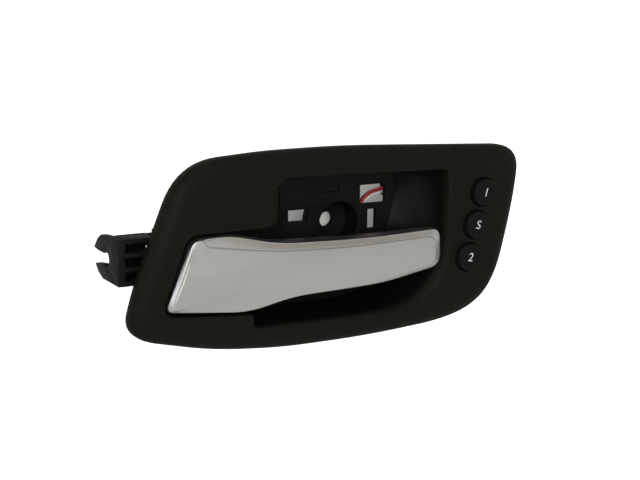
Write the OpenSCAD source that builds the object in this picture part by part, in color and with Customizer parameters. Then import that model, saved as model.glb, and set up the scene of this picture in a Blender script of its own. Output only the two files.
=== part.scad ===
// Car interior door handle: bezel with a finger recess, a pull lever on an
// upright pin, a rear panel with a cable bracket, and three memory buttons.
// X runs right along the handle, +Y goes into the door and Z is up.
// The origin is the centre of the fixing screw's hole, on the mounting plane.

/* [Bezel] */
// Reach of the bezel to the right of the screw
bezel_right = 82.8; // [80:0.1:88]
// Reach of the bezel to the left of the screw
bezel_left = 112.6; // [111:0.1:118]
// Reach of the bezel above the screw
bezel_top = 39.6; // [38:0.1:44]
// Reach of the bezel below the screw
bezel_bottom = 46; // [45:0.1:50]
// Distance of the face in front of the mounting plane
face_depth = 36; // [34:0.5:38]
// How far the middle of the face stands proud of its edges
face_crown = 1; // [0:0.1:1.4]
// How far the outer edge turns back
edge_return = 6.5; // [5:0.5:9]
// Wall thickness of the bezel
bezel_wall = 2.5; // [2:0.1:3]

/* [Finger recess] */
// Right edge of the recess
cup_right = 43.2; // [41:0.1:45]
// Top edge of the recess
cup_top = 25; // [23:0.1:26]
// Bottom edge of the recess
cup_bottom = 37; // [36:0.1:38]
// Where the left side of the recess starts to roll inwards
cup_left = 50.4; // [49:0.1:52]
// Radius of the rolled left side
side_roll = 14.5; // [12:0.1:16]
// Radius of the sharp edges of the opening
rim_radius = 0.8; // [0.5:0.1:1.2]
// How far the right wall scoops in towards the floor
right_scoop = 10; // [6:0.5:13]
// Left end of the gap below the lever
notch_left = 53.6; // [52:0.1:55]

/* [Lever] */
// Left end of the lever, at its lower corner
lever_left = 94.7; // [93:0.1:96]
// Right end of the lever, at its tip
lever_right = 39.6; // [38:0.1:40]
// Top corner of the lever's wide end
lever_top = 4.6; // [3.5:0.1:4.8]
// Lowest point of the lever's wide end
lever_low = 28.9; // [28:0.1:29.4]
// Distance of the lever's end faces in front of the mounting plane
lever_depth = 37.6; // [37:0.1:39]
// How far the middle of the lever bows forward
lever_bow = 3; // [0.5:0.1:4.5]
// Wall thickness of the chrome shell
shell_wall = 1.8; // [1.4:0.1:2]
// Gap between the lever and the opening
lever_gap = 1.2; // [1:0.1:1.4]
// Thickness of the black arm inside the shell
arm_t = 3.5; // [3:0.1:4.5]

/* [Pivot] */
// Place of the pivot pin to the left of the screw
pivot_left = 66; // [65:0.1:67]
// Place of the pivot pin in front of the mounting plane
pivot_depth = 32; // [31.5:0.1:32.5]
// Diameter of the pivot pin
pin_d = 4; // [3:0.1:4.4]
// Running clearance of the hub on the pin, in radius
pin_clear = 0.05; // [0.02:0.01:0.1]
// Outer diameter of the hub
hub_d = 8; // [7.4:0.1:8.4]
// Length of the hub
hub_l = 10.6; // [9:0.1:10.6]
// Thickness of each ear that holds the pin
ear_t = 3; // [2.4:0.1:3.4]
// Wire diameter of the return spring
spring_wire = 1; // [0.8:0.1:1.1]

/* [Rear panel] */
// Distance of the panel's front in front of the mounting plane
panel_depth = 14; // [13:0.5:16]
// Thickness of the panel
panel_t = 2.5; // [2:0.1:3]
// Diameter of the screw pocket
pocket_d = 20; // [18:0.5:21]
// Thickness of the pocket's floor
pocket_floor = 3; // [2.5:0.1:4]
// Diameter of the fixing screw's hole
screw_hole_d = 7; // [6:0.1:8]
// Diameter of the locating pegs
peg_d = 6; // [5:0.1:7]
// How far the pegs reach past the mounting plane
peg_reach = 4; // [2:0.5:8]

/* [Cable bracket] */
// Left end of the bracket
bracket_left = 111; // [110.5:0.1:116]
// Height of the bracket
bracket_h = 19.5; // [18.5:0.5:22]
// Diameter of the seat for the cable casing
casing_d = 6.6; // [6:0.1:7.4]
// Opening of the clip that leads to the seat
casing_neck = 4.2; // [3.6:0.1:4.6]
// Thickness of the clip plate
clip_t = 3; // [2.4:0.1:3.6]

/* [Buttons] */
// Diameter of the button caps
cap_d = 13; // [12:0.1:13.6]
// How far the caps stand out of the bezel
cap_proud = 2.4; // [1.8:0.1:3]
// Distance between neighbouring buttons
button_pitch = 15.1; // [15:0.1:16]
// Travel of a button
button_travel = 1.5; // [1:0.1:1.6]
// Gap round a cap, in radius
cap_gap = 0.4; // [0.3:0.05:0.5]
// Slant of the row of buttons
row_slant = 13.8; // [10:0.2:15]

/* [Switch] */
// Width of the switch case
case_w = 18; // [17:0.1:19]
// Wall thickness of the switch case
case_wall = 1.6; // [1.2:0.1:2]
// Thickness of the circuit board
board_t = 1.6; // [1.2:0.1:2]
// Diameter of the leads
lead_d = 1.5; // [1.2:0.1:1.6]

/* [Screws] */
// Diameter of the case and panel screws
screw_d = 2.8; // [2.4:0.1:3]
// Length of the panel screws under the head
screw_l = 12; // [10:0.5:14]

/* [Hidden] */
$fn = 48;
eps = 0.01;

// Smoothness of the lofted outlines: steps in a corner and points on a side
corner_steps = 4;
side_steps = 2;

// Levels along Y
face_y = -face_depth;
panel_y = -panel_depth;
panel_back = panel_y + panel_t;
edge_y = face_y + edge_return;
cup_depth = face_depth - panel_depth;
crown_mid_z = (bezel_top - bezel_bottom) / 2;
crown_half = (bezel_top + bezel_bottom) / 2;

// Pivot, cable and lever places
pivot = [-pivot_left, -pivot_depth];
cable_y = panel_y - 0.5;
cable_z = -5.5;
lever_mid_x = (lever_right - lever_left) / 2;
lever_half = (lever_right + lever_left) / 2;
lever_back_y = 6.1 - lever_depth;
arm_front_y = lever_back_y - 1.5;
arm_back_y = arm_front_y + arm_t;
hub_top = -3.9;
hub_bottom = hub_top - hub_l;
ear_gap = 0.5;
ear_top_z = hub_top + ear_gap;
// The return spring is wound on the pin between the hub and the lower ear
spring_room = 6;
ear_low_z = hub_bottom - spring_room - ear_t;

// Middle of the row of buttons, and the levels of the switch behind it
row_x = bezel_right - 24.1;
row_z = -1.2;
flange_front = face_y + 1.9;
flange_t = 1.2;
flange_r = cap_d / 2 + 0.8;
case_front = flange_front + flange_t + button_travel + 1.1;
case_front_t = 2;
board_front = case_front + 11.2;
dome_h = 2.1;
dome_base = 1;
dome_gap = 0.3;
stem_end = board_front - dome_base - dome_h - dome_gap;
cover_front = board_front + board_t + 1.5;
cover_t = 2;
stem_r = 4;
case_half = button_pitch + 8.4;
lug_at = case_half + 3.4;
lug_r = 3.2;

// Panel screws, as places in the XZ plane
boss_r = 3.2;
boss_places = [[-10, cup_top + 7.9], [30, cup_top + 7.3], [-60, lever_top + 8.6],
               [-75, -lever_low - 6.4]];

// Locating pegs and bump stop, as places in the XZ plane
peg_places = [[-43, -22], [21, -24]];
stop_at = [-47, -12];
stop_r = 3;
stop_t = 2.2;
stop_stem_r = 1.2;
stem_l = 3.8;

// Openings through the rear panel, as [left, bottom, right, top], and a
// slot that stays closed behind
clip_window = [-25.7, 2.6, -15.6, 7.8];
lead_window = [11, 8, 24.4, 16.6];
rail_window = [15.2, -3.6, 19.6, 5.3];
blind_slot = [-7.9, 14.6, 0.4, 17.6];
blind_depth = 1;

// Points of the route that the bundle of leads follows, from the switch to the plug
lead_route = [[56.7, -17.5, 7.5], [56.7, -14.5, 7.5], [56.7, -12, 7.5], [54, -8.8, 8.6],
              [47, -7.6, 11], [38, -7.6, 13], [30, -7.8, 13.4], [24, -8, 12.3], [19, -8, 10.8],
              [15.6, -8, 7.2], [14.6, -7.6, 1], [14.4, -7.2, -7], [14.2, -6.8, -13], [13.2, -6.6, -18],
              [11.6, -6.5, -21.6], [9, -6.5, -23.4], [6.5, -6.5, -23.4], [4, -6.5, -23.4]];
lead_step = lead_d + 0.2;
bundle_r = lead_step / sqrt(3);
bundle_room = bundle_r + lead_d / 2 + 0.3;

function mix(a, b, s) = a + (b - a) * s;
function unit(v) = v / norm(v);
function last(v) = v[len(v) - 1];

// Outward normal of the side from a to b, for corners listed clockwise
function side_normal(a, b) = let (u = unit([b[0] - a[0], b[1] - a[1]])) [-u[1], u[0]];

// The same corners, each moved out along its mitre. A corner is [x, z, cut].
function grow(corners, d) = [
    for (k = [0:len(corners) - 1])
        let (q = corners[k],
             n1 = side_normal(corners[(k + len(corners) - 1) % len(corners)], q),
             n2 = side_normal(q, corners[(k + 1) % len(corners)]),
             m = (n1 + n2) / (1 + n1 * n2))
        [q[0] + m[0] * d, q[1] + m[1] * d, max(1.2, q[2] + d)]
];

// Point on the side from q towards p, at the length that the corner cuts off
function cut_point(q, p, cut) =
    let (a = [q[0], q[1]], b = [p[0], p[1]]) mix(a, b, min(0.46, cut / norm(b - a)));

// Closed outline through rounded corners, as [x, z] points
function outline(corners) = [
    for (k = [0:len(corners) - 1])
        let (n = len(corners),
             p = corners[(k + n - 1) % n], q = corners[k], r = corners[(k + 1) % n],
             s = corners[(k + 2) % n],
             a = cut_point(q, p, q[2]), b = cut_point(q, r, q[2]),
             c = cut_point(r, q, r[2]), m = [q[0], q[1]])
        each concat(
            [for (i = [0:corner_steps]) let (t = i / corner_steps)
                (1 - t) * (1 - t) * a + 2 * t * (1 - t) * m + t * t * b],
            [for (i = [1:side_steps]) mix(b, c, i / (side_steps + 1))])
];

// Surface of a ring of levels, closed upon itself, as a polyhedron.
// Each ring is a list of [x, y, z] with the same number of points.
module ring_loft(rings) {
    n = len(rings[0]);
    m = len(rings);
    polyhedron(
        points = [for (ring = rings) each ring],
        faces = [for (k = [0:m - 1], j = [0:n - 1])
            let (a = k * n + j, b = k * n + (j + 1) % n,
                 c = ((k + 1) % m) * n + (j + 1) % n, d = ((k + 1) % m) * n + j)
            each [[a, b, c], [a, c, d]]],
        convexity = 10);
}

// Tube of a given radius along a list of points, closed by flat ends
function carried(path, i, n0) =
    let (t = unit(path[min(i + 1, len(path) - 1)] - path[max(i - 1, 0)]),
         n = unit(n0 - (n0 * t) * t))
    i == len(path) - 1 ? [[n, cross(t, n)]] : concat([[n, cross(t, n)]], carried(path, i + 1, n));
module sweep(path, r, sides, start) {
    f = carried(path, 0, start);
    n = len(path);
    polyhedron(
        points = [for (i = [0:n - 1], j = [0:sides - 1])
            let (a = 360 * j / sides) path[i] + r * (cos(a) * f[i][0] + sin(a) * f[i][1])],
        faces = concat(
            [[for (j = [sides - 1:-1:0]) j]],
            [for (i = [0:n - 2], j = [0:sides - 1])
                let (a = i * sides + j, b = i * sides + (j + 1) % sides)
                each [[a, b, b + sides], [a, b + sides, a + sides]]],
            [[for (j = [0:sides - 1]) (n - 1) * sides + j]]),
        convexity = 10);
}

// Smooth curve through the points of a route
function smooth_at(p, i, s) =
    let (n = len(p), a = p[max(i - 1, 0)], b = p[i], c = p[i + 1], d = p[min(i + 2, n - 1)])
    0.5 * (2 * b + (c - a) * s + (2 * a - 5 * b + 4 * c - d) * s * s
           + (3 * b - a - 3 * c + d) * s * s * s);
function smooth(p, steps) = concat(
    [for (i = [0:len(p) - 2], j = [0:steps - 1]) smooth_at(p, i, j / steps)], [last(p)]);

// Outline in the XZ plane, pulled from y0 to y1
module along_y(y0, y1) {
    translate([0, y1, 0]) rotate([90, 0, 0]) linear_extrude(y1 - y0) children();
}
// Outline in the YZ plane, pulled from x0 to x1
module along_x(x0, x1) {
    translate([x0, 0, 0]) rotate([90, 0, 90]) linear_extrude(x1 - x0) children();
}
// Round bar along Y
module rod_y(x, z, y0, y1, r) {
    translate([x, y1, z]) rotate([90, 0, 0]) cylinder(r = r, h = y1 - y0);
}
// Box between two corners
module box(a, b) {
    translate(a) cube(b - a);
}
// Places of the row of buttons, with Z along the row
module on_row(at = 0) {
    translate([row_x, 0, row_z]) rotate([0, row_slant, 0]) translate([0, 0, at]) children();
}
module stadium(w, l) {
    square([w, l - w], center = true);
    for (s = [-1, 1]) translate([0, s * (l - w) / 2]) circle(d = w);
}

// Bezel

bezel_outer = [
    [bezel_right, bezel_top - 4.6, 17],
    [bezel_right - 2.4, 4, 22],
    [bezel_right - 12.3, 20 - bezel_bottom, 14],
    [bezel_right - 31.8, 4 - bezel_bottom, 12],
    [5, 1.1 - bezel_bottom, 15],
    [-40, -bezel_bottom, 12],
    [-70, 2.6 - bezel_bottom, 10],
    [-bezel_left, 10.8 - bezel_bottom, 13],
    [3.8 - bezel_left, -15, 10],
    [24 - bezel_left, bezel_top - 2.8, 11],
    [-46, bezel_top, 10],
    [-18, bezel_top, 10]
];
function face_at(x, z) = face_y - face_crown * (1 - pow((z - crown_mid_z) / crown_half, 2));

// Distance that an edge of radius r has moved inwards at a depth, on the
// front and on the inner side of a wall
function roll(r, d) = d < r ? sqrt(r * r - (r - d) * (r - d)) : r;
function under_roll(r, d) =
    r <= bezel_wall ? r - bezel_wall
    : d < r ? sqrt(max(0, pow(r - bezel_wall, 2) - pow(r - d, 2))) : r - bezel_wall;
// Share of the hollow right wall's inward reach at a depth
function hollow(d) = (1 - cos(62 * d / cup_depth)) / (1 - cos(62));

// Corners of the opening on the face: place, cut, inward direction of its
// edge, radius of the edge, and how far the wall leans in at the floor
cup_corners = [
    [cup_right + rim_radius, cup_top + rim_radius, 2.5, -1, -1, rim_radius, -right_scoop + 1, -0.4],
    [cup_right + 3.4, -3, 11, -1, 0, 3, -right_scoop - 6, 0],
    [cup_right + 3.4, -24, 10, -0.9, 0.4, 7, -right_scoop - 4, 2],
    [31, -cup_bottom - 2, 9, -0.5, 0.8, 7, -right_scoop, 4],
    [4, -cup_bottom - 2.5, 11, 0, 1, 2.5, -2, 3],
    [-notch_left - 1.2, -cup_bottom - 1, 2.5, 1, 1, 1.5, 1, 2.6],
    [-notch_left - rim_radius, -lever_low - lever_gap - rim_radius - 0.4, 2.2, 1, 1, rim_radius, 1, 0.5],
    [-lever_left - 1.2 * lever_gap - rim_radius, 3.3 - lever_low - 1.2 * lever_gap - rim_radius, 5,
     1, 1, rim_radius, 0.6, 0.4],
    [-lever_left + 5.9 - 1.1 * lever_gap - rim_radius, -10.6, 6, 1, -0.3, rim_radius, 0.6, 0],
    [-lever_left + 11.8 - 0.9 * lever_gap - rim_radius, lever_top + lever_gap + rim_radius, 5,
     1, -1, rim_radius, 0.6, -0.4],
    [-cup_left, lever_top + lever_gap + rim_radius - 0.2, 4, 1, -0.06, side_roll, -1, -0.4],
    [-cup_left, cup_top + 1.4 + rim_radius, 5, 1, -0.06, side_roll, -1, -0.4]
];
function cup_at(d) = [for (c = cup_corners)
    [c[0] + c[3] * roll(c[5], d) + c[6] * hollow(d), c[1] + c[4] * roll(c[5], d) + c[7] * hollow(d), c[2]]];
function cup_under(d) = [for (c = cup_corners)
    [c[0] + c[3] * under_roll(c[5], d) + c[6] * hollow(d),
     c[1] + c[4] * under_roll(c[5], d) + c[7] * hollow(d), c[2]]];

function at_y(points, y) = [for (p = points) [p[0], y, p[1]]];
function on_face(points, lift) = [for (p = points) [p[0], face_at(p[0], p[1]) + lift, p[1]]];
function down_cup(points, d) = [for (p = points)
    [p[0], mix(face_at(p[0], p[1]), panel_y, d / cup_depth), p[1]]];

bezel_rings = let (o = bezel_outer, w = bezel_wall) concat(
    [at_y(outline(o), edge_y), at_y(outline(o), face_y + 4),
     at_y(outline(grow(o, -0.9)), face_y + 1.8), at_y(outline(grow(o, -2.8)), face_y + 0.5),
     on_face(outline(grow(o, -6)), 0)],
    [for (d = [0, 0.25, 0.8, 2, 4, 8, 13, 18, cup_depth]) down_cup(outline(cup_at(d)), d)],
    [for (d = [cup_depth, 18, 13, 8, 4, w]) down_cup(outline(cup_under(d)), d)],
    [on_face(outline(grow(o, -6)), w), at_y(outline(grow(o, -w)), face_y + 4),
     at_y(outline(grow(o, -w)), edge_y)]);

module bezel() {
    color([0.12, 0.12, 0.11])
    difference() {
        union() {
            ring_loft(bezel_rings);
            for (p = boss_places) rod_y(p[0], p[1], face_y + 1.4, panel_y, boss_r);
            on_row() along_y(flange_front - 0.5, case_front) stadium(case_w, 2 * (lug_at + lug_r));
        }
        for (p = boss_places)
            rod_y(p[0], p[1], panel_y - screw_l + panel_t - 1, panel_y + 1, screw_d / 2 + 0.05);
        for (at = [-1, 0, 1]) on_row(at * button_pitch) {
            rod_y(0, 0, face_y - 8, face_y + 8, cap_d / 2 + cap_gap);
            rod_y(0, 0, flange_front - 0.3, case_front + 1, flange_r + cap_gap);
        }
        for (s = [-1, 1]) on_row(s * lug_at)
            rod_y(0, 0, flange_front + 0.8, case_front + 1, screw_d / 2 + 0.05);
        // Way of the cable through the left wall
        box([-lever_left - 12, cable_y - 4.5, cable_z - 3.6], [-lever_left + 16, panel_y + 1, cable_z + 3.6]);
    }
}

// Rear panel with the screw pocket, the pin's ears and the cable bracket

module panel_plate() {
    flange = grow(cup_at(cup_depth), 4.4);
    along_y(panel_y, panel_back) polygon(outline(flange));
    for (p = boss_places) rod_y(p[0], p[1], panel_y, panel_back, boss_r + 1.6);
}
module ear(z) {
    translate([0, 0, z]) linear_extrude(ear_t) {
        translate([pivot[0] - 4, pivot[1]]) square([8, panel_y - pivot[1] + 1]);
        translate(pivot) circle(r = 4);
    }
}
module bracket() {
    top = 5;
    low = top - bracket_h;
    right = -lever_left - 4.5;
    front = face_y + 8;
    left = -bracket_left;
    // Clip plate
    along_x(left, left + clip_t) difference() {
        union() {
            translate([front, low]) square([cable_y - front + 2, bracket_h]);
            translate([cable_y + 1.5, top - bracket_h / 2]) circle(d = bracket_h);
        }
        translate([cable_y, cable_z]) circle(d = casing_d);
        translate([cable_y, cable_z - casing_neck / 2]) square([bracket_h, casing_neck]);
    }
    // Ribbed body
    rib = 2;
    for (k = [0:3]) {
        z = mix(low, top - rib, k / 3);
        box([left, front, z], [right, k % 3 == 0 ? panel_back : front + 8, z + rib]);
    }
    box([left, front + 8, low], [right, front + 10, top]);
    box([right - rib, front, low], [right, front + 8, top]);
    box([left + clip_t, panel_y, low], [right + 12, panel_back, top]);
}
module housing() {
    color([0.09, 0.09, 0.09])
    difference() {
        union() {
            panel_plate();
            rod_y(0, 0, panel_y, 0, pocket_d / 2 + 2.5);
            ear(ear_top_z);
            ear(ear_low_z);
            bracket();
            // Post of the bump stop
            rod_y(stop_at[0], stop_at[1], arm_back_y + stop_t, panel_y + 1, stop_r);
            for (p = peg_places) rod_y(p[0], p[1], panel_back - 1, peg_reach, peg_d / 2);
            // Stiffening ribs on the rear
            box([-34, panel_back - 0.5, -1], [-8, panel_back + 6, 1]);
            box([-1, panel_back - 0.5, 8], [1, panel_back + 6, cup_top - 1]);
            box([-36, panel_back - 0.5, -30], [-34, panel_back + 4, cup_top - 2]);
        }
        // Screw pocket and its hole
        rod_y(0, 0, panel_y - 1, -pocket_floor, pocket_d / 2);
        rod_y(0, 0, -pocket_floor - 1, 1, screw_hole_d / 2);
        // Openings that show in the recess
        for (w = [clip_window, lead_window, rail_window])
            box([w[0], panel_y - 1, w[1]], [w[2], panel_back + 1, w[3]]);
        box([blind_slot[0], panel_y - 1, blind_slot[1]], [blind_slot[2], panel_y + blind_depth, blind_slot[3]]);
        // Way of the cable and of the crank's end
        box([-bracket_left + clip_t, panel_y - 1, cable_z - 4], [pivot[0] + 14, panel_back + 1, cable_z + 4]);
        // Pin hole, bump stop hole and screw holes
        translate([pivot[0], pivot[1], ear_low_z - 1]) cylinder(d = pin_d + 0.04, h = pin_top - pin_low + 2);
        rod_y(stop_at[0], stop_at[1], arm_back_y + stop_t - 1, arm_back_y + stop_t + stem_l + 0.5, stop_stem_r + 0.05);
        for (p = boss_places) rod_y(p[0], p[1], panel_y - 1, panel_back + 1, screw_d / 2 + 0.3);
    }
}

// Lever

lever_corners = [
    [lever_right - 0.6, -1.2, 4.5],
    [lever_right + 0.3, -18.8, 6],
    [10, -23.3, 10],
    [-36, -24.3, 9],
    [-57, -lever_low, 8],
    [-lever_left, 3.3 - lever_low, 4.5],
    [-lever_left + 11.8, lever_top, 5],
    [-66, lever_top + 0.4, 8],
    [-44, -0.2, 12],
    [0, -1.7, 15]
];
// The flat part of the lever's front, inside its sloping bands
front_corners = [
    [lever_right - 4.8, -4.4, 3],
    [lever_right - 3, -16.6, 5],
    [10, -21.2, 10],
    [-36, -19.3, 9],
    [-57, -18.4, 8],
    [-lever_left + 2.8, 4.4 - lever_low, 4],
    [-lever_left + 13.2, lever_top - 1.6, 3],
    [-74, lever_top - 3.2, 5],
    [-44, -3.9, 12],
    [-12, -5.1, 15]
];
function lever_front(x) = -lever_depth - lever_bow * (1 - pow((x - lever_mid_x) / lever_half, 2));
function on_lever(points, lift) = [for (p = points) [p[0], lever_front(p[0]) + lift, p[1]]];

lever_rows = 4;
// Points across the front of the lever, from its lower to its upper crease
function rung_points(ring, lift) =
    let (n = len(ring))
    [for (k = [1:n / 2 - 2], v = [1:lever_rows - 1])
        let (s = v / lever_rows, p = mix(ring[k], ring[n - 1 - k], s))
        [p[0], p[1] + lift * 4 * s * (1 - s), p[2]]];

// Closed shell: outer rings, outer front, inner front and inner rings
module lever_loft(rings, front_lift, inner_rings) {
    n = len(rings[0]);
    half = n / 2;
    all_rings = concat(rings, inner_rings);
    m = len(all_rings);
    outer = len(rings) - 1;
    base = m * n;
    per = (half - 2) * (lever_rows - 1);
    points = concat([for (r = all_rings) each r],
                    rung_points(rings[outer], -front_lift), rung_points(inner_rings[0], -front_lift));
    // Index of a point on rung k, at step v, of the outer or inner front
    function at(k, v, inner) =
        let (ring = (inner ? outer + 1 : outer) * n)
        v == 0 ? ring + k
        : v == lever_rows ? ring + n - 1 - k
        : k == 0 ? ring : k == half - 1 ? ring + k
        : base + (inner ? per : 0) + (k - 1) * (lever_rows - 1) + v - 1;
    function band(k0, k1) = [for (j = [0:n - 1])
        let (a = k0 * n + j, b = k0 * n + (j + 1) % n, c = k1 * n + (j + 1) % n, d = k1 * n + j)
        each [[a, b, c], [a, c, d]]];
    function turned(f, back) = back ? [f[2], f[1], f[0]] : f;
    function front(inner) = [for (k = [0:half - 2], v = [0:lever_rows - 1])
        let (a = at(k, v, inner), b = at(k, v + 1, inner),
             c = at(k + 1, v + 1, inner), d = at(k + 1, v, inner))
        each [for (f = [[a, b, c], [a, c, d]])
            if (f[0] != f[1] && f[1] != f[2] && f[0] != f[2]) turned(f, !inner)]];
    polyhedron(
        points = points,
        faces = concat(
            [for (k = [0:outer - 1]) each band(k, k + 1)], front(false), front(true),
            [for (k = [outer + 1:m - 2]) each band(k, k + 1)], band(m - 1, 0)),
        convexity = 10);
}
lever_rim_drop = 3.2;
module lever_shell() {
    color([0.72, 0.71, 0.69])
    lever_loft(
        [at_y(outline(lever_corners), lever_back_y), on_lever(outline(lever_corners), lever_rim_drop),
         on_lever(outline(grow(lever_corners, -0.7)), lever_rim_drop - 1.5),
         on_lever(outline(front_corners), 0.3)],
        0.5,
        [on_lever(outline(grow(front_corners, -0.6)), shell_wall + 0.6),
         on_lever(outline(grow(lever_corners, -shell_wall - 0.5)), lever_rim_drop - 1.2 + shell_wall),
         at_y(outline(grow(lever_corners, -shell_wall)), arm_front_y - 0.3),
         at_y(outline(grow(lever_corners, -shell_wall)), lever_back_y)]);
}
module lever_arm() {
    bay = [pivot[0] - 8, pivot[0] + 6.5];
    crank_t = 4.2;
    color([0.1, 0.1, 0.1])
    difference() {
        union() {
            difference() {
                along_y(arm_front_y, arm_back_y) polygon(outline(grow(lever_corners, -shell_wall - 0.2)));
                // Room for the ears, and pockets between the ribs on the back
                box([bay[0], arm_front_y - 1, ear_low_z - 4], [bay[1], arm_back_y + 1, ear_top_z + ear_t + 1.2]);
                for (x = [-56:15:20])
                    box([x, arm_front_y + 1.5, -20.5], [x + 13, arm_back_y + 1, -5.6]);
            }
            box([bay[0] - 1, arm_front_y, hub_bottom], [bay[1] + 1, arm_back_y, hub_top]);
            translate([pivot[0], pivot[1], hub_bottom]) cylinder(d = hub_d, h = hub_l);
            // Crank that pulls the cable
            box([pivot[0] - 2.5, pivot[1], hub_top - crank_t], [pivot[0] + 2.5, cable_y, hub_top]);
            translate([pivot[0], cable_y, hub_top - crank_t]) cylinder(r = 2.8, h = crank_t);
            // Pad that meets the bump stop
            rod_y(stop_at[0], stop_at[1], arm_front_y, arm_back_y, stop_r + 1.5);
        }
        translate([pivot[0], pivot[1], hub_bottom - 1]) cylinder(d = pin_d + 2 * pin_clear, h = hub_l + 2);
        translate([pivot[0], cable_y, hub_top - crank_t - 1]) cylinder(r = 1.5, h = crank_t + 2);
        box([pivot[0] - 4, cable_y - 0.6, hub_top - crank_t - 1], [pivot[0], cable_y + 0.6, hub_top + 1]);
    }
}

// Pivot

pin_top = ear_top_z + ear_t;
pin_low = ear_low_z - 1.4;
module pivot_pin() {
    color([0.6, 0.6, 0.62]) translate([pivot[0], pivot[1], 0]) {
        difference() {
            translate([0, 0, pin_low]) cylinder(d = pin_d, h = pin_top - pin_low + eps);
            // Groove of the clip
            translate([0, 0, ear_low_z - 0.8]) difference() {
                cylinder(d = pin_d + 1, h = 0.6);
                translate([0, 0, -1]) cylinder(d = pin_d - 1, h = 3);
            }
        }
        translate([0, 0, pin_top]) cylinder(d = pin_d + 2, h = 0.8);
    }
}
module pin_clip() {
    color([0.35, 0.35, 0.36]) translate([pivot[0], pivot[1], ear_low_z - 0.75]) difference() {
        cylinder(d = pin_d + 3, h = 0.5);
        translate([0, 0, -1]) cylinder(d = pin_d - 0.9, h = 3);
        translate([-1.2, 0, -1]) cube([2.4, 6, 3]);
    }
}
spring_turns = 4;
spring_r = pin_d / 2 + 1.1;
module return_spring() {
    coil = hub_bottom - 0.3 - spring_wire / 2;
    drop = spring_turns * (spring_wire + 0.12);
    steps = 14;
    color([0.55, 0.55, 0.56])
    translate([pivot[0], pivot[1], 0])
    sweep(concat(
        [[11, spring_r + 0.2, coil], [5, spring_r, coil]],
        [for (i = [0:spring_turns * steps]) let (a = 90 + 360 * i / steps)
            [spring_r * cos(a), spring_r * sin(a), coil - drop * i / (spring_turns * steps)]],
        [[-4.2, spring_r + 1.4, coil - drop], [-5.6, spring_r + 5, coil - drop],
         [-5.6, panel_y - pivot[1] - 0.2, coil - drop]]),
        spring_wire / 2, 8, [0, 0, 1]);
}
module bump_stop() {
    color([0.05, 0.05, 0.05]) {
        rod_y(stop_at[0], stop_at[1], arm_back_y + 0.2, arm_back_y + stop_t, stop_r);
        rod_y(stop_at[0], stop_at[1], arm_back_y + stop_t - 0.1, arm_back_y + stop_t + stem_l, stop_stem_r);
    }
}

// Buttons and the switch behind them

module button(at) {
    front = cap_proud - face_y + face_crown;
    stem = flange_front + flange_t - stem_end;
    top = front + stem_end;
    edge = 0.7;
    color([0.1, 0.1, 0.1]) on_row(at * button_pitch)
    translate([0, stem_end, 0]) rotate([90, 0, 0]) rotate_extrude()
    polygon([[0, 0], [stem_r, 0], [stem_r, -stem], [flange_r, -stem],
             [flange_r, flange_t - stem], [cap_d / 2, flange_t - stem],
             [cap_d / 2, top - edge], [cap_d / 2 - 0.2, top - edge / 3],
             [cap_d / 2 - edge, top], [0, top - 0.2]]);
}
module button_1() { button(1); }
module button_set() { button(0); }
module button_2() { button(-1); }

module switch_case() {
    l = 2 * case_half;
    back = cover_front;
    color([0.13, 0.13, 0.13]) on_row() difference() {
        union() {
            along_y(case_front, back) square([case_w, l], center = true);
            for (s = [-1, 1]) translate([0, 0, s * lug_at]) {
                rod_y(0, 0, case_front, case_front + 3, lug_r);
                box([-lug_r, case_front, min(0, -s * 4)], [lug_r, case_front + 3, max(0, -s * 4)]);
            }
        }
        along_y(case_front + case_front_t, back + 1)
            square([case_w - 2 * case_wall, l - 2 * case_wall], center = true);
        for (at = [-1, 0, 1]) rod_y(0, at * button_pitch, case_front - 1, case_front + 4, stem_r + 0.1);
        for (s = [-1, 1]) rod_y(0, s * lug_at, case_front - 1, case_front + 5, screw_d / 2 + 0.3);
    }
}
module dome_mat() {
    color([0.75, 0.74, 0.7]) on_row() {
        along_y(board_front - dome_base, board_front)
            square([case_w - 2 * case_wall - 0.8, 2 * case_half - 2 * case_wall - 0.8], center = true);
        for (at = [-1, 0, 1]) translate([0, board_front - dome_base + 0.2, at * button_pitch])
            rotate([90, 0, 0]) cylinder(r1 = 4.6, r2 = 3, h = dome_h + 0.2);
    }
}
module circuit_board() {
    color([0.1, 0.32, 0.16]) on_row()
    along_y(board_front, board_front + board_t)
        square([case_w - 2 * case_wall - 0.4, 2 * case_half - 2 * case_wall - 0.4], center = true);
}
grommet_at = [5 - case_w / 2, 8];
module switch_cover() {
    l = 2 * case_half;
    color([0.14, 0.14, 0.14]) on_row() difference() {
        union() {
            along_y(cover_front, cover_front + cover_t) square([case_w, l], center = true);
            // Posts that hold the board against the case
            for (x = [-1, 1], z = [-1, 1])
                rod_y(x * (case_w / 2 - case_wall - 1.8), z * (case_half - case_wall - 2),
                      board_front + board_t, cover_front + 0.5, 1.5);
        }
        rod_y(grommet_at[0], grommet_at[1], cover_front - 1, cover_front + cover_t + 1, 3.2);
    }
}
module lead_grommet() {
    color([0.06, 0.06, 0.06]) on_row() difference() {
        union() {
            rod_y(grommet_at[0], grommet_at[1], cover_front - 0.9, cover_front + cover_t + 1, 3.15);
            rod_y(grommet_at[0], grommet_at[1], cover_front + cover_t, cover_front + cover_t + 1, 4.2);
        }
        rod_y(grommet_at[0], grommet_at[1], cover_front - 2, cover_front + cover_t + 2, bundle_room);
    }
}
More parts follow.
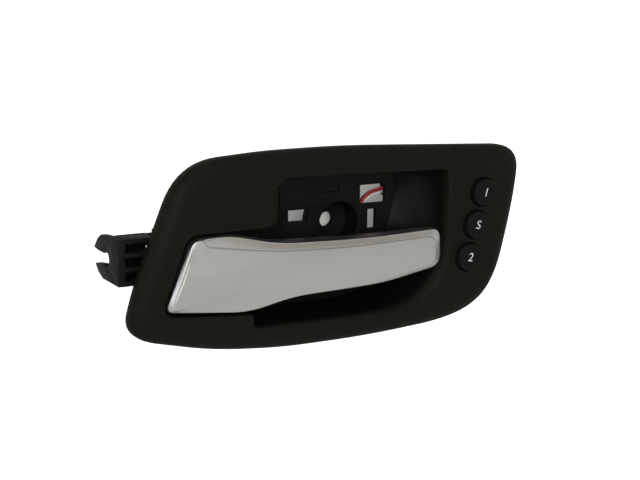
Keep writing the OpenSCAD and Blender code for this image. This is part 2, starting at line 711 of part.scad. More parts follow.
// The three leads lie round the route, 120 degrees apart
module lead(k) {
    path = smooth(lead_route, 2);
    f = carried(path, 0, [0, 0, 1]);
    a = 120 * k + 90;
    sweep([for (i = [0:len(path) - 1]) path[i] + bundle_r * (cos(a) * f[i][0] + sin(a) * f[i][1])],
          lead_d / 2, 8, [0, 0, 1]);
}
module lead_red() { color([0.7, 0.08, 0.08]) lead(0); }
module lead_white() { color([0.85, 0.85, 0.83]) lead(1); }
module lead_black() { color([0.08, 0.08, 0.08]) lead(2); }

plug_l = 16;
plug_half = 4.2;
plug_wall = 1.2;
// Plug on the end of the leads, open to the left for the door's own plug
module lead_plug() {
    end = last(lead_route);
    low = [end[0] - plug_l, panel_back, end[2] - plug_half];
    high = [end[0], end[1] + 4.5, end[2] + plug_half];
    wall = [0, plug_wall, plug_wall];
    color([0.82, 0.8, 0.74]) {
        difference() {
            union() {
                box(low, high);
                // Latch bridge for the lock of the door's plug
                box([low[0] + 2, high[1] - 0.1, end[2] - 2.4], [low[0] + 8, high[1] + 1.2, end[2] + 2.4]);
            }
            box(low + wall - [1, 0, 0], [low[0] + plug_l / 2, high[1] - plug_wall, high[2] - plug_wall]);
        }
        // Three contact pins inside the mouth
        for (k = [-1:1]) box([low[0] + 1.5, end[1] - 1.3, end[2] + 2 * k - 0.3],
                             [low[0] + plug_l / 2 + 0.5, end[1] - 0.7, end[2] + 2 * k + 0.3]);
    }
}
// Clip on the rear panel that the leads run through
module lead_clip() {
    at = lead_route[6];
    room = bundle_room + 0.3;
    wall = 1.3;
    color([0.16, 0.16, 0.16]) difference() {
        box([at[0] - 2.5, panel_back, at[2] - room - wall], [at[0] + 2.5, at[1] + room + wall, at[2] + room + wall]);
        box([at[0] - 3.5, at[1] - room, at[2] - room], [at[0] + 3.5, at[1] + room, at[2] + room]);
    }
}

// Pan-head screw along Y, its head towards the rear
module pan_screw(x, z, under_head, l) {
    rod_y(x, z, under_head - l, under_head + eps, screw_d / 2);
    difference() {
        rod_y(x, z, under_head, under_head + 1.8, screw_d);
        rod_y(x, z, under_head + 0.9, under_head + 3, screw_d / 3);
    }
}
module housing_screws() {
    color([0.5, 0.5, 0.52]) for (p = boss_places) pan_screw(p[0], p[1], panel_back, screw_l);
}
module case_screws() {
    color([0.5, 0.5, 0.52]) on_row() for (s = [-1, 1])
        pan_screw(0, s * lug_at, case_front + 3, case_front + 2 - flange_front);
}

bezel();
housing();
lever_shell();
lever_arm();
pivot_pin();
pin_clip();
return_spring();
bump_stop();
button_1();
button_set();
button_2();
switch_case();
dome_mat();
circuit_board();
switch_cover();
lead_grommet();
lead_red();
lead_white();
lead_black();
lead_plug();
lead_clip();
case_screws();
housing_screws();
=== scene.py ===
# %% [markdown]
# # A car interior door handle
#
# A dark moulded bezel frames a finger recess. A satin chrome lever hangs on an
# upright pin at the left of the recess, and three round memory buttons stand
# in a slanted row on the right. A bracket for the release cable reaches out
# at the left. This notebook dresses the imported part: it gives every surface
# its finish, and it models again, with far finer curves, the pieces whose
# shape catches the light.
#
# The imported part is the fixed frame, and every joint and mount keeps its place.
# The bezel, the lever's tip, the cable clip and two screw pads are fitted to
# the photograph, and leave the solids by up to about four millimetres.

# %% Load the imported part
import math

import bpy
import numpy as np
from mathutils import Matrix, Vector


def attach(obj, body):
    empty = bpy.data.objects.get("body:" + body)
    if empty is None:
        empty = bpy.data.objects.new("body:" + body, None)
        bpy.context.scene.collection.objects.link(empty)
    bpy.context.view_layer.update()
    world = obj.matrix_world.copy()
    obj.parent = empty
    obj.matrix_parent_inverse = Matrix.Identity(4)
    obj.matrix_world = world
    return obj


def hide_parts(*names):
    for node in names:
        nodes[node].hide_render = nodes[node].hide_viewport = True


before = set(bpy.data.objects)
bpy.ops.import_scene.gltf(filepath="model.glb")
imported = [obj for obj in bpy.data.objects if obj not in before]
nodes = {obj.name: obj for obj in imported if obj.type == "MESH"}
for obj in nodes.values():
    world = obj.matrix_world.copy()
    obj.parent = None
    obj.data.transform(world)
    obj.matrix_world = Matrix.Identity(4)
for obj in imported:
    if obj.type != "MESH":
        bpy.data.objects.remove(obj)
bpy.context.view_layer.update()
scene = bpy.context.scene
MM = 0.001
print("nodes in the frame:", len(nodes))

# %% [markdown]
# ## Camera
#
# The handle is seen from its left, a little from above. The picture leans by
# one degree, so the camera's axes are built from three angles and written into
# its matrix as columns: right, up and back.

# %% Camera
view_azimuth = math.radians(-30)
view_elevation = math.radians(12)
view_roll = math.radians(1)
view_place = Vector((-320.2, -552.2, 125.4)) * MM
view_focal_px = 1426
frame_width_px = 640

back = Vector((math.sin(view_azimuth) * math.cos(view_elevation),
               -math.cos(view_azimuth) * math.cos(view_elevation),
               math.sin(view_elevation)))
level_right = (-back).cross(Vector((0, 0, 1))).normalized()
level_up = level_right.cross(-back)
right = level_right * math.cos(view_roll) + level_up * math.sin(view_roll)
up = level_up * math.cos(view_roll) - level_right * math.sin(view_roll)

lens = bpy.data.cameras.new("camera")
lens.sensor_width = 36
lens.lens = view_focal_px / frame_width_px * lens.sensor_width
lens.clip_start = 0.01
camera = bpy.data.objects.new("camera", lens)
scene.collection.objects.link(camera)
camera.matrix_world = Matrix.Translation(view_place) @ Matrix((right, up, back)).transposed().to_4x4()
scene.camera = camera
print("lens in millimetres:", round(lens.lens, 1))

# %% [markdown]
# ## Helpers
#
# Operators act on what is selected, so each step starts from a clean selection. A finished piece keeps its
# object at the origin, with its place in its mesh, and then it is given its material and its body, and the
# imported nodes that it stands for are hidden.

# %% Selection and finishing helpers
def only(piece):
    """Selects one object and makes it active."""
    if bpy.context.object and bpy.context.object.mode != "OBJECT":
        bpy.ops.object.mode_set(mode="OBJECT")
    bpy.ops.object.select_all(action="DESELECT")
    piece.select_set(True)
    bpy.context.view_layer.objects.active = piece


def edit_all(piece):
    """Opens a piece in edit mode with everything selected."""
    only(piece)
    bpy.ops.object.mode_set(mode="EDIT")
    bpy.ops.mesh.select_all(action="SELECT")


def close_edit():
    bpy.ops.object.mode_set(mode="OBJECT")


def apply_place(piece):
    """Moves a piece's place, turn and scale into its mesh."""
    only(piece)
    bpy.ops.object.transform_apply(location=True, rotation=True, scale=True)


def apply_modifiers(piece):
    only(piece)
    for modifier in list(piece.modifiers):
        bpy.ops.object.modifier_apply(modifier=modifier.name)


def smooth(piece, angle=30):
    only(piece)
    bpy.ops.object.shade_smooth_by_angle(angle=math.radians(angle))


def dress(piece, name, body, slot, material, *replaced):
    """Names a finished piece, gives it its material and ties it to its body."""
    piece.name = name
    piece.data.name = name
    piece.data.materials.clear()
    piece.data.materials.append(material)
    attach(piece, body)
    if replaced:
        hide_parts(*replaced)
    return piece


# %% [markdown]
# ## Finishes
#
# Every finish starts from the principled shader. Two kinds of noise give it
# life: a fine grain that only tilts the surface, and broad clouds that shift
# its colour and its gloss a little, as moulding and plating do. Stretching the
# noise along X draws the faint lines of brushed or rolled metal.

# %% Material helpers
def finish(name, color, roughness, metallic=0.0, specular=0.5):
    material = bpy.data.materials.new(name)
    material.use_nodes = True
    shader = material.node_tree.nodes["Principled BSDF"]
    shader.inputs["Base Color"].default_value = (*color, 1)
    shader.inputs["Roughness"].default_value = roughness
    shader.inputs["Metallic"].default_value = metallic
    shader.inputs["Specular IOR Level"].default_value = specular
    return material


def noise(material, scale, stretch=(1, 1, 1), detail=2.0):
    """Noise on Object coordinates, as the output socket of its node."""
    tree = material.node_tree
    place = tree.nodes.new("ShaderNodeTexCoord")
    mapping = tree.nodes.new("ShaderNodeMapping")
    mapping.inputs["Scale"].default_value = stretch
    texture = tree.nodes.new("ShaderNodeTexNoise")
    texture.inputs["Scale"].default_value = scale
    texture.inputs["Detail"].default_value = detail
    tree.links.new(place.outputs["Object"], mapping.inputs["Vector"])
    tree.links.new(mapping.outputs["Vector"], texture.inputs["Vector"])
    return texture.outputs["Fac"]


def spread(material, fac, low, high):
    """Maps the middle of a noise to a range of numbers."""
    tree = material.node_tree
    node = tree.nodes.new("ShaderNodeMapRange")
    node.inputs["From Min"].default_value = 0.3
    node.inputs["From Max"].default_value = 0.7
    node.inputs["To Min"].default_value = low
    node.inputs["To Max"].default_value = high
    tree.links.new(fac, node.inputs["Value"])
    return node.outputs["Result"]


def grain(material, scale, depth_mm, stretch=(1, 1, 1), strength=1.0):
    """Tilts the surface with a fine noise of a real depth."""
    tree = material.node_tree
    bump = tree.nodes.new("ShaderNodeBump")
    bump.inputs["Strength"].default_value = strength
    bump.inputs["Distance"].default_value = depth_mm * MM
    tree.links.new(noise(material, scale, stretch), bump.inputs["Height"])
    tree.links.new(bump.outputs["Normal"], tree.nodes["Principled BSDF"].inputs["Normal"])


def clouds(material, low, high, scale, stretch=(1, 1, 1), detail=3.0):
    """Lets the colour drift between two shades."""
    tree = material.node_tree
    mix = tree.nodes.new("ShaderNodeMix")
    mix.data_type = "RGBA"
    mix.inputs["A"].default_value = (*low, 1)
    mix.inputs["B"].default_value = (*high, 1)
    fac = spread(material, noise(material, scale, stretch, detail), 0, 1)
    tree.links.new(fac, mix.inputs["Factor"])
    tree.links.new(mix.outputs["Result"], tree.nodes["Principled BSDF"].inputs["Base Color"])


def sheen_drift(material, low, high, scale, stretch=(1, 1, 1)):
    """Lets the roughness drift between two values."""
    tree = material.node_tree
    rough = spread(material, noise(material, scale, stretch, 3.0), low, high)
    tree.links.new(rough, tree.nodes["Principled BSDF"].inputs["Roughness"])


# %% [markdown]
# ### Moulded plastics
#
# The bezel is a satin charcoal plastic with a very fine grain. The housing and
# the switch are plainer black mouldings. The buttons are a touch bluer and
# smoother, because fingers touch them.

# %% Plastics
bezel_plastic = finish("bezel_satin", (0.0058, 0.006, 0.0044), 0.5, specular=0.05)
clouds(bezel_plastic, (0.0053, 0.0055, 0.004), (0.0064, 0.0066, 0.0049), 22)
sheen_drift(bezel_plastic, 0.46, 0.56, 35)
grain(bezel_plastic, 2600, 0.012)

# The recess finish is the bezel plastic made smoother and glossier, with a darker colour that is painted
# shade.
recess_gloss_and_shade = finish("recess_gloss_and_painted_shade", (0.0034, 0.0034, 0.003), 0.28, specular=0.07)
clouds(recess_gloss_and_shade, (0.003, 0.0031, 0.0027), (0.0038, 0.0038, 0.0034), 30)
sheen_drift(recess_gloss_and_shade, 0.26, 0.36, 30)
grain(recess_gloss_and_shade, 2600, 0.006)

black_plastic = finish("housing_black", (0.0048, 0.0048, 0.0043), 0.52, specular=0.07)
clouds(black_plastic, (0.0043, 0.0043, 0.0038), (0.0055, 0.0055, 0.005), 40)
sheen_drift(black_plastic, 0.44, 0.6, 60)
grain(black_plastic, 1500, 0.016)

button_plastic = finish("button_satin", (0.0052, 0.0055, 0.0047), 0.42, specular=0.05)
clouds(button_plastic, (0.0047, 0.005, 0.0042), (0.0058, 0.0061, 0.0053), 90)
grain(button_plastic, 3200, 0.008)

legend_paint = finish("legend_print", (0.56, 0.56, 0.54), 0.5, specular=0.3)
clouds(legend_paint, (0.5, 0.5, 0.48), (0.6, 0.6, 0.58), 900)

case_plastic = finish("switch_black", (0.012, 0.012, 0.0122), 0.52, specular=0.3)
clouds(case_plastic, (0.0105, 0.0105, 0.0105), (0.0135, 0.0135, 0.014), 60)
grain(case_plastic, 1800, 0.014)

nylon = finish("plug_nylon", (0.6, 0.57, 0.49), 0.42, specular=0.4)
clouds(nylon, (0.55, 0.52, 0.44), (0.64, 0.61, 0.53), 120)
grain(nylon, 1400, 0.01)
nylon.node_tree.nodes["Principled BSDF"].inputs["Subsurface Weight"].default_value = 0.12
nylon.node_tree.nodes["Principled BSDF"].inputs["Subsurface Radius"].default_value = (0.001, 0.0009, 0.0007)

# %% [markdown]
# ### Metals
#
# The lever is plated plastic with a satin, slightly streaky chrome. The screws
# are zinc plated, and the pin and the spring are plain drawn steel, whose
# drawing lines run along the wire.

# %% Metals
lever_chrome = finish("lever_satin_chrome", (0.36, 0.36, 0.342), 0.34, metallic=1.0)
clouds(lever_chrome, (0.34, 0.342, 0.323), (0.375, 0.374, 0.357), 9, stretch=(1, 4, 6))
sheen_drift(lever_chrome, 0.3, 0.4, 14, stretch=(0.35, 4, 9))
grain(lever_chrome, 240, 0.01, stretch=(0.12, 1, 1), strength=0.5)

zinc = finish("screw_zinc", (0.52, 0.52, 0.5), 0.32, metallic=1.0)
clouds(zinc, (0.46, 0.47, 0.46), (0.58, 0.57, 0.53), 260)
sheen_drift(zinc, 0.25, 0.42, 500)

steel = finish("drawn_steel", (0.45, 0.45, 0.46), 0.28, metallic=1.0)
clouds(steel, (0.4, 0.4, 0.41), (0.5, 0.5, 0.51), 180, stretch=(1, 1, 0.1))
sheen_drift(steel, 0.22, 0.38, 600, stretch=(1, 1, 0.1))

# %% [markdown]
# ### Soft parts, leads and the board
#
# Rubber is nearly black and dull. The leads have a smooth coloured skin. The
# board is lacquered laminate, and a noise at the scale of its glass weave
# shows through the lacquer.

# %% Rubber, leads and laminate
rubber = finish("rubber_black", (0.012, 0.012, 0.012), 0.72, specular=0.3)
clouds(rubber, (0.01, 0.01, 0.01), (0.016, 0.016, 0.0155), 200)
grain(rubber, 1600, 0.02)

silicone = finish("dome_silicone", (0.55, 0.53, 0.47), 0.5, specular=0.4)
clouds(silicone, (0.5, 0.48, 0.42), (0.6, 0.58, 0.52), 150)
grain(silicone, 1200, 0.01)


def lead_skin(name, color):
    skin = finish(name, color, 0.33, specular=0.5)
    darker = tuple(0.82 * c for c in color)
    clouds(skin, darker, color, 160)
    grain(skin, 1500, 0.006)
    return skin


red_skin = lead_skin("lead_red_skin", (0.38, 0.012, 0.012))
white_skin = lead_skin("lead_white_skin", (0.74, 0.73, 0.69))
black_skin = lead_skin("lead_black_skin", (0.012, 0.012, 0.013))

laminate = finish("board_laminate", (0.012, 0.09, 0.04), 0.3, specular=0.5)
clouds(laminate, (0.01, 0.075, 0.033), (0.016, 0.11, 0.05), 1100, detail=1.0)
grain(laminate, 1100, 0.008)

# %% [markdown]
# ## Outlines and lofts
#
# The bezel and the lever are lofts: one closed outline changes, level by
# level, into the next. An outline is a short list of corners, each with its
# own place and the length that its rounding cuts off, and a quadratic curve
# rounds it. Because every level has the same number of points, neighbouring
# levels can simply be joined by quads. That is more exact than pulling a
# primitive into shape, and the two hundred points of an outline come from
# twelve corners.

# %% Outline and loft tools
def grow(corners, d):
    """Moves the corners [x, z, cut] of a clockwise outline outwards by d."""
    at = np.array([c[:2] for c in corners], float)
    side = np.roll(at, -1, axis=0) - at
    side /= np.linalg.norm(side, axis=1)[:, None]
    normal = np.stack([-side[:, 1], side[:, 0]], axis=1)
    before = np.roll(normal, 1, axis=0)
    mitre = (before + normal) / (1 + (before * normal).sum(axis=1))[:, None]
    moved = at + mitre * d
    return [[x, z, max(1.2, c[2] + d)] for (x, z), c in zip(moved, corners)]


def outline(corners, corner_steps=10, side_steps=7):
    """Points of a closed outline through rounded corners."""
    count = len(corners)
    at = np.array([c[:2] for c in corners], float)
    points = []

    def cut_point(k, other):
        reach = np.linalg.norm(at[other] - at[k])
        return at[k] + (at[other] - at[k]) * min(0.46, corners[k][2] / reach)

    for k in range(count):
        before, after = (k - 1) % count, (k + 1) % count
        a, b, c = cut_point(k, before), cut_point(k, after), cut_point(after, k)
        for t in np.linspace(0, 1, corner_steps + 1):
            points.append((1 - t) ** 2 * a + 2 * t * (1 - t) * at[k] + t * t * b)
        for s in np.linspace(0, 1, side_steps + 2)[1:-1]:
            points.append(b + (c - b) * s)
    return np.array(points)


def ring(points, depth):
    """An outline as points in space, at a level or at a level for each point."""
    return np.column_stack([points[:, 0], np.broadcast_to(depth, len(points)), points[:, 1]])


def mesh_piece(name, points, faces):
    """A mesh object from points in millimetres."""
    mesh = bpy.data.meshes.new(name)
    mesh.from_pydata([tuple(c * MM for c in p) for p in points], [], faces)
    mesh.update()
    piece = bpy.data.objects.new(name, mesh)
    scene.collection.objects.link(piece)
    return piece


def bands(first, last, count, total):
    """Quads between each ring and the next, from ring first to ring last."""
    faces = []
    for k in range(first, last):
        a, b = k * count, ((k + 1) % total) * count
        for j in range(count):
            n = (j + 1) % count
            faces.append((a + j, a + n, b + n, b + j))
    return faces


# %% [markdown]
# ## Bezel
#
# The bezel is one moulding. Its face is slightly crowned, its outer edge rolls
# back, and it dives into the finger recess with a different edge on each side:
# sharp at the top, a wide roll on the left and a scooped wall on the right.
# Each corner of the opening therefore has its own edge radius and its own lean
# towards the floor.

# %% Sizes of the bezel, in millimetres
bezel_right, bezel_left, bezel_top, bezel_bottom = 85.1, 111.3, 38.1, 47.8
face_y, panel_y = -36, -14
face_crown = 1
edge_return, edge_round, edge_inset = 6.5, 4, 6
bezel_wall = 2.5
cup_right, cup_top, cup_bottom, cup_left = 43.2, 25, 37, 50.4
side_roll, rim_radius, right_scoop, notch_left = 14.5, 0.8, 10, 53.6
lever_left, lever_right, lever_top, lever_low, lever_gap = 94.7, 39.6, 4.6, 28.9, 1.2
cup_depth = panel_y - face_y
hollow_turn = math.radians(62)

bezel_outer = [
    [bezel_right, bezel_top - 4.4, 15],
    [bezel_right - 3.1, 6.4, 22],
    [bezel_right - 12.4, 15.9 - bezel_bottom, 18],
    [bezel_right - 32.3, 3.1 - bezel_bottom, 22],
    [4.2, -bezel_bottom, 18],
    [-38.8, -bezel_bottom, 14],
    [-71.5, 3.1 - bezel_bottom, 13],
    [-bezel_left, 12.5 - bezel_bottom, 15],
    [6.2 - bezel_left, -12.7, 10],
    [25.2 - bezel_left, bezel_top - 2.8, 18],
    [-47, bezel_top - 0.2, 9],
    [-9, bezel_top, 17],
]
# Each corner of the opening: place, cut, inward direction of its edge, radius
# of the edge, and how far the wall leans in at the floor
low_left = [-lever_left - 1.2 * lever_gap - rim_radius, 3.3 - lever_low - 1.2 * lever_gap - rim_radius]
cup_corners = [
    [cup_right + rim_radius, cup_top + rim_radius, 2.5, -1, -1, rim_radius, 1 - right_scoop, -0.4],
    [cup_right + 3.4, -3, 11, -1, 0, 3, -right_scoop - 8.4, 0],
    [cup_right + 3.4, -24, 10, -0.9, 0.4, 7, -right_scoop - 4, 2],
    [31, -cup_bottom - 2, 9, -0.5, 0.8, 7, -right_scoop, 4],
    [4, -cup_bottom - 2.5, 11, 0, 1, 2.5, -2, 3],
    [-notch_left - 1.2, -cup_bottom - 1, 2.5, 1, 1, 1.5, 1, 2.6],
    [-notch_left - rim_radius, -lever_low - lever_gap - rim_radius - 0.4, 2.2, 1, 1, rim_radius, 1, 0.5],
    [*low_left, 7.5, 1, 1, rim_radius, 0.6, 0.4],
    [-lever_left + 5.9 - 1.1 * lever_gap - rim_radius, -10.6, 6, 1, -0.3, rim_radius, 0.6, 0],
    [-lever_left + 11.8 - 0.9 * lever_gap - rim_radius, lever_top + lever_gap + rim_radius, 5,
     1, -1, rim_radius, 0.6, -0.4],
    [-cup_left, lever_top + lever_gap + rim_radius - 0.2, 4, 1, -0.06, side_roll, -1, -0.4],
    [-cup_left, cup_top + 1.4 + rim_radius, 1.6, 1, -0.06, side_roll, -1, -0.4],
]

# %% Levels of the bezel
def face_at(points):
    middle = (bezel_top - bezel_bottom) / 2
    half = (bezel_top + bezel_bottom) / 2
    return face_y - face_crown * (1 - ((points[:, 1] - middle) / half) ** 2)


def hollow(d):
    return (1 - math.cos(hollow_turn * d / cup_depth)) / (1 - math.cos(hollow_turn))


def roll(radius, d):
    """How far a rounded edge has moved inwards at a depth."""
    return math.sqrt(radius ** 2 - (radius - d) ** 2) if d < radius else radius


def under_roll(radius, d):
    """The same on the hidden side of the wall."""
    inner = radius - bezel_wall
    if inner <= 0 or d >= radius:
        return inner
    return math.sqrt(max(0, inner ** 2 - (radius - d) ** 2))


def opening(d, move):
    return [[c[0] + c[3] * move(c[5], d) + c[6] * hollow(d),
             c[1] + c[4] * move(c[5], d) + c[7] * hollow(d), c[2]] for c in cup_corners]


def down_the_cup(points, d):
    face = face_at(points)
    return ring(points, face + (panel_y - face) * d / cup_depth)


rings = [ring(outline(bezel_outer), face_y + edge_return)]
for turn in np.linspace(0, math.pi / 2, 9):
    inset = edge_inset * (1 - math.cos(turn))
    points = outline(grow(bezel_outer, -inset))
    crown = (face_at(points) - face_y) * inset / edge_inset
    rings.append(ring(points, face_y + crown + edge_round * (1 - math.sin(turn))))
shoulder = outline(grow(bezel_outer, -edge_inset))
mouth = outline(opening(0, roll))
for share in (0.2, 0.4, 0.6, 0.8):
    points = shoulder + (mouth - shoulder) * share
    rings.append(ring(points, face_at(points)))
for d in (0, 0.05, 0.14, 0.28, 0.5, 0.8, 1.2, 1.8, 2.6, 3.6, 5, 6.5, 8, 10, 12, 14, 16, 18, 20, cup_depth):
    rings.append(down_the_cup(outline(opening(d, roll)), d))
for d in (cup_depth, 18, 14, 11, 8, 6, 4, bezel_wall):
    rings.append(down_the_cup(outline(opening(d, under_roll)), d))
rings.append(ring(shoulder, face_at(shoulder) + bezel_wall))
inside = outline(grow(bezel_outer, -bezel_wall))
rings.append(ring(inside, face_y + edge_round))
rings.append(ring(inside, face_y + edge_return))

# %% Join the levels
bezel = mesh_piece("bezel_shell", np.vstack(rings), bands(0, len(rings), len(rings[0]), len(rings)))
edit_all(bezel)
bpy.ops.mesh.normals_make_consistent(inside=False)
close_edit()
print("bezel levels:", len(rings), "faces:", len(bezel.data.polygons))

# %% [markdown]
# The screw bosses and the block that carries the switch are cylinders and boxes on the hidden side. They are
# joined to the skin by booleans, and the button holes and the cable's way are cut the same way. What lies deep
# in the opening then takes the recess finish: it is smoother and reflects a little more than the face does,
# and its darker colour is painted shade.

# %% Bosses, button holes and the cable's way
def rod(x, z, y0, y1, radius, sides=64):
    """A round bar along Y, between two levels."""
    only(bezel)
    bpy.ops.mesh.primitive_cone_add(
        vertices=sides, radius1=radius * MM, radius2=radius * MM, depth=(y1 - y0) * MM,
        location=(x * MM, (y0 + y1) / 2 * MM, z * MM), rotation=(math.radians(90), 0, 0))
    bar = bpy.context.object
    apply_place(bar)
    return bar


def block(low, high):
    """A box between two corners in millimetres."""
    low, high = Vector(low) * MM, Vector(high) * MM
    bpy.ops.object.select_all(action="DESELECT")
    bpy.ops.mesh.primitive_cube_add(size=1, location=(low + high) / 2)
    cube = bpy.context.object
    cube.scale = high - low
    apply_place(cube)
    return cube


def combine(piece, tool, operation):
    """Joins a tool to a piece or cuts it out, and deletes the tool."""
    only(piece)
    modifier = piece.modifiers.new(operation.lower(), "BOOLEAN")
    modifier.operation = operation
    modifier.solver = "EXACT"
    modifier.object = tool
    bpy.ops.object.modifier_apply(modifier=modifier.name)
    bpy.data.objects.remove(tool)


row_x, row_z, row_slant = bezel_right - 26.4, -1.2, math.radians(13.8)
button_pitch, cap_d, cap_gap, cap_proud = 15.1, 13, 0.4, 2.4
flange_front, case_front, flange_r = face_y + 1.9, face_y + 5.7, 7.3
lug_at, lug_r, case_w = 26.9, 3.2, 18
boss_r, screw_d = 3.2, 2.8
screw_clearance = 0.05
boss_places = [(-10, cup_top + 5.4), (30, cup_top + 5.2), (-60, lever_top + 8.6), (-75, -lever_low - 6.4)]
recess_shade_from = face_y + 3


def on_row(at, across=0):
    """A place on the slanted row of buttons, as x and z."""
    return (row_x + across * math.cos(row_slant) + at * math.sin(row_slant),
            row_z - across * math.sin(row_slant) + at * math.cos(row_slant))


for x, z in boss_places:
    combine(bezel, rod(x, z, face_y + 1.4, panel_y, boss_r), "UNION")
plate = block((-case_w / 2, flange_front - 0.5, -lug_at - lug_r), (case_w / 2, case_front, lug_at + lug_r))
plate.rotation_euler = (0, row_slant, 0)
plate.location = (row_x * MM, 0, row_z * MM)
apply_place(plate)
combine(bezel, plate, "UNION")
for x, z in boss_places:
    combine(bezel, rod(x, z, panel_y - 10.5, panel_y + 1, screw_d / 2 + screw_clearance), "DIFFERENCE")
for at in (-1, 0, 1):
    x, z = on_row(at * button_pitch)
    combine(bezel, rod(x, z, face_y - 6, face_y + 8, cap_d / 2 + cap_gap, 96), "DIFFERENCE")
    combine(bezel, rod(x, z, flange_front - 0.3, case_front + 1, flange_r + cap_gap, 96), "DIFFERENCE")
for side in (-1, 1):
    x, z = on_row(side * lug_at)
    combine(bezel, rod(x, z, flange_front + 0.8, case_front + 1, screw_d / 2 + screw_clearance), "DIFFERENCE")
cable_way = block((-lever_left - 12, panel_y - 5, -9.1), (-lever_left + 16, panel_y + 1, -1.9))
combine(bezel, cable_way, "DIFFERENCE")
smooth(bezel, 32)
dress(bezel, "bezel_shell", "root", "bezel", bezel_plastic, "bezel")
# Faces deep in the opening take the darker recess finish: painted shade, with a smoother gloss.
bezel.data.materials.append(recess_gloss_and_shade)
for face in bezel.data.polygons:
    x, y, z = face.center / MM
    if y > recess_shade_from and -cup_left - 6 < x < cup_right + 6 and -cup_bottom - 4 < z < cup_top + 1.5:
        face.material_index = 1
print("bezel after cutting:", len(bezel.data.polygons))

# %% [markdown]
# ## Lever cover
#
# The cover is a thin plated shell. Its front bows forward along its length and
# is a little crowned across. Bands slope from the front to the edge, and a
# fine groove runs along the upper band, up to a rounded end near the wide
# side. The outline and the crease are lofted as the bezel is, and every corner
# between two levels is rounded column by column. The front is a ladder of
# rungs from the lower to the upper crease.

# %% Sizes of the lever
lever_depth, lever_bow, shell_wall, rim_drop = 37.6, 3, 1.8, 3.2
lever_back_y = 6.1 - lever_depth
arm_front_y = lever_back_y - 1.5
arm_back_y = arm_front_y + 3.5
lever_corners = [
    [lever_right + 1.7, -18.6, 6],
    [10, -23.3, 10],
    [-36, -24.3, 9],
    [-57, -lever_low, 8],
    [-76, 1.7 - lever_low, 6],
    [-lever_left, 3.3 - lever_low, 4.5],
    [-lever_left + 11.8, lever_top, 5],
    [-74, lever_top + 0.2, 3],
    [-64, lever_top + 0.2, 7],
    [-44, -0.2, 12],
    [0, -1.7, 15],
    [lever_right + 0.6, -1.2, 4.5],
]
front_corners = [
    [lever_right - 1.7, -16.6, 5],
    [10, -21.2, 10],
    [-36, -19.3, 9],
    [-57, -18.4, 8],
    [-75, -22.3, 6],
    [-lever_left + 1.9, 4 - lever_low, 4],
    [-lever_left + 12.2, lever_top - 0.9, 3],
    [-77.2, lever_top - 0.7, 1.2],
    [-76.2, lever_top - 3.6, 2.6],
    [-44, -3.7, 12],
    [-8, -5, 15],
    [lever_right - 3.6, -4.4, 3],
]


def lever_front(x):
    middle, half = (lever_right - lever_left) / 2, (lever_right + lever_left) / 2
    return -lever_depth - lever_bow * (1 - ((x - middle) / half) ** 2)


def on_lever(points, lift):
    return ring(points, lever_front(points[:, 0]) + lift)


def bend(a, b, c, reach, steps):
    """Rounds the corner b between the levels a and c, column by column."""
    def towards(p):
        far = np.linalg.norm(p - b, axis=1)[:, None]
        return b + (p - b) * np.minimum(0.48, reach / np.maximum(far, 1e-6))
    start, end = towards(a), towards(c)
    return [(1 - t) ** 2 * start + 2 * t * (1 - t) * b + t * t * end for t in np.linspace(0, 1, steps + 1)]


# %% Outer and inner levels of the lever
fine = {"corner_steps": 9, "side_steps": 9}
edge = outline(lever_corners, **fine)
crease = outline(front_corners, **fine)
upper = np.clip((crease[:, 1] + 8) / 3, 0, 1) * np.clip((crease[:, 0] + 78.5) / 1.2, 0, 1)
back_ring = ring(edge, lever_back_y)
side_ring = on_lever(edge, rim_drop)
chamfer_ring = on_lever(outline(grow(lever_corners, -0.25), **fine), rim_drop - 1.7)
lip_ring = on_lever(crease + (edge - crease) * 0.12, 0.55)
groove_ring = on_lever(crease, 0.35 + 0.45 * upper)
front_ring = on_lever(outline(grow(front_corners, -0.5), **fine), 0.22)
field_ring = on_lever(outline(grow(front_corners, -1), **fine), 0.2)
lever_rings = [back_ring, *bend(back_ring, side_ring, chamfer_ring, 0.7, 4),
               *bend(side_ring, chamfer_ring, lip_ring, 0.8, 4),
               *bend(chamfer_ring, lip_ring, groove_ring, 0.25, 2),
               groove_ring, *bend(groove_ring, front_ring, field_ring, 0.15, 2), field_ring]
lever_outer = len(lever_rings)
lever_rings += [
    on_lever(outline(grow(front_corners, -0.6), **fine), shell_wall + 0.6),
    on_lever(outline(grow(lever_corners, -shell_wall - 0.5), **fine), rim_drop - 1.2 + shell_wall),
    ring(outline(grow(lever_corners, -shell_wall), **fine), arm_front_y - 0.3),
    ring(outline(grow(lever_corners, -shell_wall), **fine), lever_back_y)]

# %% Front of the lever, as rungs between the creases
def ladder(level, first, count, lift, crown, rungs, start, flip):
    """Points and faces that close a ring with a crowned field of rungs."""
    half = count // 2
    points = []
    for k in range(1, half - 1):
        low, high = level[k], level[count - 1 - k]
        for v in range(1, rungs):
            s = v / rungs
            p = low + (high - low) * s
            points.append([p[0], lever_front(p[0]) + lift - crown * 4 * s * (1 - s), p[2]])

    def at(k, v):
        if v == 0 or k == 0:
            return first + k
        if v == rungs:
            return first + count - 1 - k
        if k == half - 1:
            return first + k
        return start + (k - 1) * (rungs - 1) + v - 1

    faces = []
    for k in range(half - 1):
        for v in range(rungs):
            corners = [at(k, v), at(k, v + 1), at(k + 1, v + 1), at(k + 1, v)]
            kept = [c for j, c in enumerate(corners) if c not in corners[:j]]
            if len(kept) > 2:
                faces.append(kept[::-1] if flip else kept)
    return points, faces


